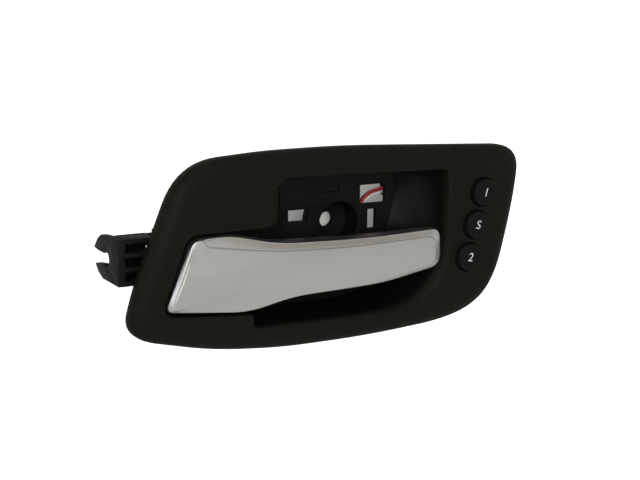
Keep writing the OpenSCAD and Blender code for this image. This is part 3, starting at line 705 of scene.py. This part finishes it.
count = len(edge)
total = len(lever_rings)
points = [p for level in lever_rings for p in level]
faces = bands(0, lever_outer - 1, count, total) + bands(lever_outer, total, count, total)
for level, lift, flip in ((lever_outer - 1, 0.2, False), (lever_outer, shell_wall + 0.6, True)):
    more, closing = ladder(lever_rings[level], level * count, count, lift, 0.5, 10, len(points), flip)
    points += more
    faces += closing
lever = mesh_piece("lever_cover", points, faces)
edit_all(lever)
bpy.ops.mesh.remove_doubles(threshold=0.00001)
bpy.ops.mesh.normals_make_consistent(inside=False)
close_edit()
smooth(lever, 24)
dress(lever, "lever_cover", "lever", "lever_chrome", lever_chrome, "lever_shell")
print("lever faces:", len(lever.data.polygons))

# %% [markdown]
# ## Turned pieces
#
# Buttons, screws, the pin, the grommet and the rubber stop are all round. Each
# one is a half profile, drawn as a short line of points, and the spin
# operator turns it round its axis. The profile closes on the axis, so the
# poles are merged afterwards.

# %% Turning helper
def turned(name, profile, place, axis="Y", steps=64):
    """Spins a half profile of (radius, level) round an axis through a place."""
    x, z = place
    if axis == "Y":
        points = [np.array([x + r, level, z]) for r, level in profile]
        center, direction = (x * MM, 0, z * MM), (0, 1, 0)
    else:
        points = [np.array([x + r, z, level]) for r, level in profile]
        center, direction = (x * MM, z * MM, 0), (0, 0, 1)
    mesh = bpy.data.meshes.new(name)
    mesh.from_pydata([tuple(p * MM) for p in points], [(k, k + 1) for k in range(len(points) - 1)], [])
    piece = bpy.data.objects.new(name, mesh)
    scene.collection.objects.link(piece)
    edit_all(piece)
    bpy.ops.mesh.spin(steps=steps, angle=2 * math.pi, center=center, axis=direction)
    bpy.ops.mesh.select_all(action="SELECT")
    bpy.ops.mesh.remove_doubles(threshold=0.000004)
    bpy.ops.mesh.normals_make_consistent(inside=False)
    close_edit()
    return piece


def arc(center_r, center_level, radius, start, end, steps=5):
    """Points of a rounded edge in a profile, angles in degrees."""
    return [(center_r + radius * math.cos(math.radians(a)), center_level + radius * math.sin(math.radians(a)))
            for a in np.linspace(start, end, steps)]


def join(pieces, name):
    only(pieces[0])
    for piece in pieces[1:]:
        piece.select_set(True)
    bpy.ops.object.join()
    pieces[0].name = name
    return pieces[0]


# %% [markdown]
# ## Buttons and their legends
#
# Each cap is slightly dished, with a rounded edge, and it has a flange behind
# the bezel and a stem that presses the dome. Its front is a little slimmer than
# its hole, which leaves the dark ring of the photograph. The generic legends 1,
# S and 2 are printed: text is turned into a mesh that is a tenth of a
# millimetre thick and lies in the dish.

# %% Buttons
flange_t = 1.2
board_front = case_front + 11.2
stem_end = board_front - 1 - 2.1 - 0.3
cap_front = face_y - face_crown - cap_proud
cap_edge, cap_slim = 0.8, 0.3
legend_h, legend_lean, legend_slant = 5.6, math.radians(8), 0.12
button_profile = [(0, stem_end), (3.7, stem_end), (4, stem_end - 0.3), (4, flange_front + flange_t),
                  (flange_r, flange_front + flange_t), (flange_r, flange_front), (cap_d / 2, flange_front),
                  *[(r, 2 * (cap_front + cap_edge) - level) for r, level in
                    arc(cap_d / 2 - cap_slim - cap_edge, cap_front + cap_edge, cap_edge, 0, 90, 7)],
                  (cap_d / 2 - 1.6, cap_front + 0.03), (4, cap_front + 0.12), (2, cap_front + 0.18),
                  (0, cap_front + 0.2)]
for body, at, sign in (("button_1", 1, "1"), ("button_set", 0, "S"), ("button_2", -1, "2")):
    place = on_row(at * button_pitch)
    cap = turned(body + "_cap", button_profile, place, steps=96)
    smooth(cap, 30)
    dress(cap, body + "_cap", body, "button", button_plastic, body)

    bpy.ops.object.select_all(action="DESELECT")
    bpy.ops.object.text_add(rotation=(math.radians(90), legend_lean, 0),
                            location=(place[0] * MM, (cap_front + 0.15) * MM, place[1] * MM))
    sign_piece = bpy.context.object
    sign_piece.data.body = sign
    sign_piece.data.size = legend_h * MM
    sign_piece.data.align_x = "CENTER"
    sign_piece.data.align_y = "CENTER"
    sign_piece.data.extrude = 0.05 * MM
    sign_piece.data.shear = legend_slant
    bpy.ops.object.convert(target="MESH")
    apply_place(sign_piece)
    dress(sign_piece, body + "_legend", body, "button", legend_paint)

# %% [markdown]
# ## Screws, pin, stop and grommet
#
# The pan heads are turned, and their cross recess is two thin wedges cut from the head. The same function
# builds each panel screw at its own place, and the screws are joined into one piece.

# %% Screws
def pan_screw(place, under_head, length, name):
    radius, head = screw_d / 2, screw_d
    tip = under_head - length
    profile = [(0, tip), (radius - 0.4, tip), (radius, tip + 0.8), (radius, under_head),
               (head - 0.1, under_head), (head, under_head + 0.15), (head, under_head + 0.9),
               *arc(head - 0.9, under_head + 0.9, 0.9, 10, 90, 6), (0, under_head + 1.8)]
    screw = turned(name, profile, place, steps=48)
    for turn in (0, math.pi / 2):
        slot_box = block((-1.75, under_head + 0.75, -0.27), (1.75, under_head + 2.5, 0.27))
        slot_box.rotation_euler = (0, turn + math.pi / 4, 0)
        slot_box.location = (place[0] * MM, 0, place[1] * MM)
        apply_place(slot_box)
        combine(screw, slot_box, "DIFFERENCE")
    smooth(screw, 30)
    return screw


panel_back = panel_y + 2.5
panel_screws = join([pan_screw(p, panel_back, 12, "panel_screw") for p in boss_places], "panel_screws")
dress(panel_screws, "panel_screws", "root", "steel", zinc, "housing_screws")
lug_screws = join([pan_screw(on_row(s * lug_at), case_front + 3, case_front + 2 - flange_front, "lug_screw")
                   for s in (-1, 1)], "switch_screws")
dress(lug_screws, "switch_screws", "root", "steel", zinc, "case_screws")

# %% Pivot pin, its clip, rubber stop and grommet
pivot = (-66, -32)
hub_top, hub_bottom, ear_t = -3.9, -14.5, 3
ear_top_z = hub_top + 0.5
ear_low_z = hub_bottom - 6 - ear_t
pin_top, pin_low = ear_top_z + ear_t, ear_low_z - 1.4
pin_profile = [(0, pin_low), (1.6, pin_low), (2, pin_low + 0.4), (2, ear_low_z - 0.8), (1.5, ear_low_z - 0.8),
               (1.5, ear_low_z - 0.2), (2, ear_low_z - 0.2), (2, pin_top), (2.9, pin_top), (3, pin_top + 0.15),
               (2.9, pin_top + 0.6), (2.5, pin_top + 0.8), (0, pin_top + 0.8)]
pin = turned("pin", pin_profile, pivot, axis="Z", steps=64)
smooth(pin, 30)
dress(pin, "pin", "root", "steel", steel, "pivot_pin")

stop_at = (-47, -12)
stop_profile = [(0, arm_back_y + 6), (0.8, arm_back_y + 6), (1.2, arm_back_y + 5.4), (1.2, arm_back_y + 2.2),
                (2.8, arm_back_y + 2.2), (3, arm_back_y + 2),
                *[(r, 2 * (arm_back_y + 0.9) - level)
                  for r, level in arc(2.3, arm_back_y + 0.9, 0.7, 0, 90, 5)],
                (0, arm_back_y + 0.2)]
stop = turned("rubber_stop", stop_profile, stop_at, steps=48)
smooth(stop, 30)
dress(stop, "rubber_stop", "root", "rubber", rubber, "bump_stop")

cover_front = board_front + 1.6 + 1.5
cover_back = cover_front + 2
bundle_room = (1.5 + 0.2) / math.sqrt(3) + 0.75 + 0.3
grommet_profile = [(bundle_room, cover_front - 0.9), (3, cover_front - 0.9), (3.15, cover_front - 0.7),
                   (3.15, cover_back), (4.1, cover_back), (4.2, cover_back + 0.2), (4.15, cover_back + 0.7),
                   (3.8, cover_back + 1), (bundle_room + 0.3, cover_back + 1), (bundle_room, cover_back + 0.8),
                   (bundle_room, cover_front - 0.9)]
grommet = turned("grommet", grommet_profile, on_row(8, 5 - case_w / 2), steps=48)
smooth(grommet, 30)
dress(grommet, "grommet", "root", "rubber", rubber, "lead_grommet")

# %% [markdown]
# ## Leads and spring
#
# Wire is a curve with a round section. The leads follow the route of the part's
# own plan, three of them laid round it: black on top, red in front and white
# below, as in the lead window. The spring is wound on the pin between the hub
# and the lower ear, with one leg on the lever and one on the rear panel.

# %% Wire helper
def through(route, steps):
    """A smooth curve through the points of a route."""
    route = np.array(route, float)
    last = len(route) - 1
    path = []
    for i in range(last):
        a, b, c, d = route[max(i - 1, 0)], route[i], route[i + 1], route[min(i + 2, last)]
        for s in np.arange(steps) / steps:
            path.append(0.5 * (2 * b + (c - a) * s + (2 * a - 5 * b + 4 * c - d) * s * s
                               + (3 * b - a - 3 * c + d) * s ** 3))
    return np.array([*path, route[-1]])


def wire(name, path, diameter):
    curve = bpy.data.curves.new(name, "CURVE")
    curve.dimensions = "3D"
    curve.bevel_depth = diameter / 2 * MM
    curve.bevel_resolution = 3
    curve.use_fill_caps = True
    line = curve.splines.new("POLY")
    line.points.add(len(path) - 1)
    for point, p in zip(line.points, path):
        point.co = (*(p * MM), 1)
    piece = bpy.data.objects.new(name, curve)
    scene.collection.objects.link(piece)
    only(piece)
    bpy.ops.object.convert(target="MESH")
    smooth(piece, 40)
    return piece


# %% Leads
lead_route = [
    (56.7, -17.5, 7.5), (56.7, -14.5, 7.5), (56.7, -12, 7.5), (54, -8.8, 8.6), (47, -7.6, 11), (38, -7.6, 13),
    (30, -7.8, 13.4), (24, -8, 12.3), (19, -8, 10.8), (15.6, -8, 7.2), (14.6, -7.6, 1), (14.4, -7.2, -7),
    (14.2, -6.8, -13), (13.2, -6.6, -18), (11.6, -6.5, -21.6), (9, -6.5, -23.4), (6.5, -6.5, -23.4),
    (4, -6.5, -23.4)]
route_path = through(lead_route, 6)
side = np.array([0, 0, 1.0])
frames = []
for i in range(len(route_path)):
    along = route_path[min(i + 1, len(route_path) - 1)] - route_path[max(i - 1, 0)]
    along /= np.linalg.norm(along)
    side = side - side.dot(along) * along
    side /= np.linalg.norm(side)
    frames.append((side, np.cross(along, side)))
lead_d, lead_gap = 1.5, 0.2
lay = (lead_d + lead_gap) / math.sqrt(3)
skins = [("lead_black", black_skin), ("lead_white", white_skin), ("lead_red", red_skin)]
for k, (name, skin) in enumerate(skins):
    turn = math.radians(120 * k + 90)
    path = np.array([p + lay * (math.cos(turn) * n + math.sin(turn) * b)
                     for p, (n, b) in zip(route_path, frames)])
    dress(wire(name + "_wire", path, lead_d), name + "_wire", "root", name, skin, name)

# %% Return spring
spring_wire, spring_turns = 1, 4
spring_r = 3.1
coil = hub_bottom - 0.3 - spring_wire / 2
drop = spring_turns * (spring_wire + 0.12)
winding = [(11, spring_r + 0.2, coil), (8, spring_r + 0.1, coil), (5, spring_r, coil), (2.5, spring_r, coil)]
for i in range(spring_turns * 32 + 1):
    a = math.radians(90 + 360 * i / 32)
    winding.append((spring_r * math.cos(a), spring_r * math.sin(a), coil - drop * i / (spring_turns * 32)))
winding += [(-4.2, spring_r + 1.4, coil - drop), (-5.6, spring_r + 5, coil - drop),
            (-5.6, panel_y - pivot[1] - 0.2, coil - drop)]
winding = [np.array([x + pivot[0], y + pivot[1], z]) for x, y, z in winding]
dress(wire("spring_coil", winding, spring_wire), "spring_coil", "root", "spring_steel", steel, "return_spring")

# %% [markdown]
# ## Cable clip
#
# The release cable's casing snaps into an open plate with two hooked jaws, and
# four ribs and a floor tie the plate to the rear panel. The plate is the
# outline of its side, drawn as points along Y and Z and given its thickness
# along X, with a round seat cut between the jaws. The ribs are boxes.

# %% Cable clip
cable_y, cable_z = panel_y - 0.5, -5.5
bracket_left, bracket_right, clip_t = 111, -lever_left - 4.5, 3
bracket_top, bracket_low, bracket_front = 5, -14.5, face_y + 8
casing_r, neck, rib_t, rib_count = 3.3, 4.2, 2, 4
clip_outline = [
    (bracket_front, bracket_top), (cable_y - 6.1, bracket_top), (cable_y + 5.9, bracket_top - 1.2),
    (cable_y + 9.5, bracket_top - 3.4), (cable_y + 13.6, cable_z + neck / 2 + 0.6),
    (cable_y + 8.7, cable_z + neck / 2), (cable_y, cable_z + neck / 2), (cable_y, cable_z - neck / 2),
    (cable_y + 12.2, cable_z - neck / 2 - 1.8), (cable_y + 9.3, bracket_low + 2.1),
    (cable_y + 4.1, bracket_low), (bracket_front, bracket_low)]


def cable_bracket():
    """The open clip plate on its ribbed body, up to the rear panel's edge."""
    count = len(clip_outline)
    points = [(-bracket_left + t, y, z) for t in (0, clip_t) for y, z in clip_outline]
    faces = [tuple(range(count)), tuple(range(2 * count - 1, count - 1, -1))]
    faces += [(j, j + count, (j + 1) % count + count, (j + 1) % count) for j in range(count)]
    clip = mesh_piece("cable_clip", points, faces)
    edit_all(clip)
    bpy.ops.mesh.normals_make_consistent(inside=False)
    close_edit()
    only(clip)
    bpy.ops.mesh.primitive_cylinder_add(
        vertices=48, radius=casing_r * MM, depth=0.02, rotation=(0, math.radians(90), 0),
        location=(-bracket_left * MM, cable_y * MM, cable_z * MM))
    seat = bpy.context.object
    apply_place(seat)
    combine(clip, seat, "DIFFERENCE")
    left, right = -bracket_left + clip_t - 0.5, bracket_right + 3.7
    floor_y = bracket_front + 8
    for k in range(rib_count):
        z = bracket_low + (bracket_top - rib_t - bracket_low) * k / (rib_count - 1)
        deep = panel_back if k == 0 else floor_y + 1
        combine(clip, block((left, bracket_front, z), (right, deep, z + rib_t)), "UNION")
    combine(clip, block((left, floor_y, bracket_low), (right, floor_y + rib_t, bracket_top)), "UNION")
    combine(clip, block((left + 0.6, panel_y, bracket_low),
                        (bracket_right + 0.2, panel_back, cable_z - 4)), "UNION")
    return clip


# %% [markdown]
# ## Mouldings carried over
#
# The rear panel, the lever's arm, the switch and the plug come from the packed
# part, but a moulding has no razor-sharp edge. Each is copied, its triangles
# are merged back into flat faces, and a fine bevel breaks every edge, so that
# light draws a thin line along it. The rear panel is also fitted to the
# photograph: its two upper screw pads move down behind the bezel, its pocket
# gets a thinner wall, and the cable clip takes the place of its plain one.

# %% Edge breaking
def moulding(node, width, material, slot, body="root", reshape=None):
    """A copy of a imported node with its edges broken."""
    piece = bpy.data.objects.new(node + "_moulding", nodes[node].data.copy())
    scene.collection.objects.link(piece)
    edit_all(piece)
    bpy.ops.mesh.remove_doubles(threshold=0.000005)
    bpy.ops.mesh.dissolve_limited(angle_limit=math.radians(0.6))
    close_edit()
    if reshape:
        reshape(piece)
    bevel = piece.modifiers.new("edges", "BEVEL")
    bevel.width = width * MM
    bevel.segments = 2
    bevel.limit_method = "ANGLE"
    bevel.angle_limit = math.radians(38)
    bevel.use_clamp_overlap = False
    apply_modifiers(piece)
    smooth(piece, 34)
    return dress(piece, node + "_moulding", body, slot, material, node)


packed_pads = [(-10, 32.9), (30, 32.3)]
pad_reach, pad_core, pad_low_z, pad_share = 4.9, 3, 30.3, 0.75
packed_pocket_r, pocket_r = 12.5, 11
panel_end, panel_end_top = -89.5, 3.4


def move_pad(x, z):
    """Where a point of an upper screw pad goes, or None if it isn't on one."""
    for (old_x, old_z), (new_x, new_z) in zip(packed_pads, boss_places):
        away = math.hypot(x - old_x, z - old_z)
        if away < pad_reach and z > pad_low_z:
            share = pad_share if away > pad_core else 1
            return new_x + (x - old_x) * share, new_z + (z - old_z) * share
    return None


def fit_housing(piece):
    """Fits the copy of the rear panel to the photograph."""
    for vertex in piece.data.vertices:
        x, y, z = vertex.co / MM
        moved = move_pad(x, z) if panel_y - 0.1 < y < panel_back + 0.1 else None
        if moved:
            vertex.co = Vector((moved[0], y, moved[1])) * MM
        if abs(math.hypot(x, z) - packed_pocket_r) < 0.06 and y > panel_back + 0.1:
            thinner = pocket_r / packed_pocket_r
            vertex.co = Vector((x * thinner, y, z * thinner)) * MM
    combine(piece, block((-130, -60, -30), (bracket_right + 0.01, 20, 20)), "DIFFERENCE")
    combine(piece, block((-130, -60, panel_end_top), (panel_end, 20, 20)), "DIFFERENCE")
    combine(piece, cable_bracket(), "UNION")


moulding("housing", 0.22, black_plastic, "housing", reshape=fit_housing)
moulding("lever_arm", 0.2, black_plastic, "arm", "lever")
moulding("switch_case", 0.2, case_plastic, "switch_case")
moulding("switch_cover", 0.2, case_plastic, "switch_case")
moulding("lead_clip", 0.15, black_plastic, "housing")
moulding("lead_plug", 0.12, nylon, "plug")
moulding("circuit_board", 0.05, laminate, "board")
moulding("dome_mat", 0.12, silicone, "silicone")
moulding("pin_clip", 0.05, steel, "spring_steel")

# %% [markdown]
# ## Stage and light
#
# The photograph has a white ground. The world shows white to the camera and to reflections, and it lights the
# part softly. A sheet of white paper stands close behind the part, and it glows for the camera. A patch of it
# behind the recess glows far less: this is a painted shadow, and it shows a little grey through the holes of
# the rear panel. The sheet is clear from behind. One large lamp stands near the camera, a small one at the
# left draws a faint light on the recess's right wall, and a tan card over the lever gives its upper band the
# warm tone of the photograph.

# %% World
world = bpy.data.worlds.new("studio")
scene.world = world
world.use_nodes = True
tree = world.node_tree
fill_light = tree.nodes["Background"]
fill_light.inputs["Color"].default_value = (1, 1, 1, 1)
fill_light.inputs["Strength"].default_value = 0.55
white_ground = tree.nodes.new("ShaderNodeBackground")
white_ground.inputs["Color"].default_value = (1, 1, 1, 1)
white_ground.inputs["Strength"].default_value = 1
path = tree.nodes.new("ShaderNodeLightPath")


def either(first, second):
    node = tree.nodes.new("ShaderNodeMath")
    node.operation = "MAXIMUM"
    tree.links.new(first, node.inputs[0])
    tree.links.new(second, node.inputs[1])
    return node.outputs["Value"]


seen = either(path.outputs["Is Camera Ray"],
              either(path.outputs["Is Glossy Ray"], path.outputs["Is Transmission Ray"]))
both = tree.nodes.new("ShaderNodeMixShader")
tree.links.new(seen, both.inputs["Fac"])
tree.links.new(fill_light.outputs["Background"], both.inputs[1])
tree.links.new(white_ground.outputs["Background"], both.inputs[2])
tree.links.new(both.outputs["Shader"], tree.nodes["World Output"].inputs["Surface"])

# %% Paper behind the part
paper_y = 4.5
# Place and half sizes of the painted shadow on the paper, its soft edge, and how little it glows against the
# rest of the sheet.
shadow_patch_x, shadow_patch_z, shadow_patch_half_x, shadow_patch_half_z = 10, 1.7, 27, 12.5
shadow_patch_edge, shadow_patch_glow, paper_glow = 1.12, 0.1, 0.8
bpy.ops.object.select_all(action="DESELECT")
bpy.ops.mesh.primitive_plane_add(size=5, location=(0, paper_y * MM, 0), rotation=(math.radians(90), 0, 0))
paper = bpy.context.object
apply_place(paper)
paper.name = "paper"
pale = finish("paper_white", (0.8, 0.78, 0.75), 0.8, specular=0.1)
shader = pale.node_tree.nodes["Principled BSDF"]
shader.inputs["Emission Color"].default_value = (1, 0.985, 0.97, 1)


def add(kind):
    return pale.node_tree.nodes.new("ShaderNode" + kind)


def link(source, target):
    pale.node_tree.links.new(source, target)


# The paper's glow drops inside a box behind the recess: a painted shadow, grey through the rear panel's holes.
shadow_patch_map = add("Mapping")
shadow_patch_map.vector_type = "TEXTURE"
shadow_patch_map.inputs["Location"].default_value = (shadow_patch_x * MM, paper_y * MM, shadow_patch_z * MM)
shadow_patch_map.inputs["Scale"].default_value = (shadow_patch_half_x * MM, 1, shadow_patch_half_z * MM)
both_signs = add("VectorMath")
both_signs.operation = "ABSOLUTE"
apart = add("SeparateXYZ")
farthest = add("Math")
farthest.operation = "MAXIMUM"
shade = add("MapRange")
for name, value in (("From Min", 1), ("From Max", shadow_patch_edge), ("To Min", shadow_patch_glow), ("To Max", paper_glow)):
    shade.inputs[name].default_value = value
glow = add("Math")
glow.operation = "MULTIPLY"
one_sided = add("MixShader")
link(add("TexCoord").outputs["Object"], shadow_patch_map.inputs["Vector"])
link(shadow_patch_map.outputs["Vector"], both_signs.inputs[0])
link(both_signs.outputs["Vector"], apart.inputs["Vector"])
link(apart.outputs["X"], farthest.inputs[0])
link(apart.outputs["Z"], farthest.inputs[1])
link(farthest.outputs["Value"], shade.inputs["Value"])
link(shade.outputs["Result"], glow.inputs[0])
link(add("LightPath").outputs["Is Camera Ray"], glow.inputs[1])
link(glow.outputs["Value"], shader.inputs["Emission Strength"])
link(add("NewGeometry").outputs["Backfacing"], one_sided.inputs["Fac"])
link(shader.outputs["BSDF"], one_sided.inputs[1])
link(add("BsdfTransparent").outputs["BSDF"], one_sided.inputs[2])
link(one_sided.outputs["Shader"], pale.node_tree.nodes["Material Output"].inputs["Surface"])
paper.data.materials.append(pale)
print("paper behind the part at", paper_y, "mm")

# %% Warm card over the lever
bpy.ops.object.select_all(action="DESELECT")
card_size, card_place, card_aim = 0.6, (0.58, -0.93, 0.44), Vector((-0.02, -0.03, 0))
bpy.ops.mesh.primitive_plane_add(size=card_size, location=card_place)
card = bpy.context.object
card.rotation_euler = (card_aim - card.location).to_track_quat("Z", "Y").to_euler()
apply_place(card)
card.name = "card"
card.data.materials.append(finish("card_tan", (0.72, 0.62, 0.5), 0.9, specular=0.1))

# %% Lamps
def lamp(name, place, size, power, target=(-0.015, -0.02, 0), color=(1, 1, 1)):
    light = bpy.data.lights.new(name, "AREA")
    light.shape = "RECTANGLE"
    light.size, light.size_y = size
    light.energy = power
    light.color = color
    piece = bpy.data.objects.new(name, light)
    scene.collection.objects.link(piece)
    piece.location = place
    piece.rotation_euler = (Vector(target) - Vector(place)).to_track_quat("-Z", "Y").to_euler()
    return piece


lamp("key_lamp", (-0.5, -1.1, 0.34), (1.0, 0.8), 9.6)
lamp("window_lamp", (-1.0, -0.32, 0.2), (0.08, 0.2), 0.6, color=(0.75, 0.82, 1.0))
scene.view_settings.view_transform = "Standard"
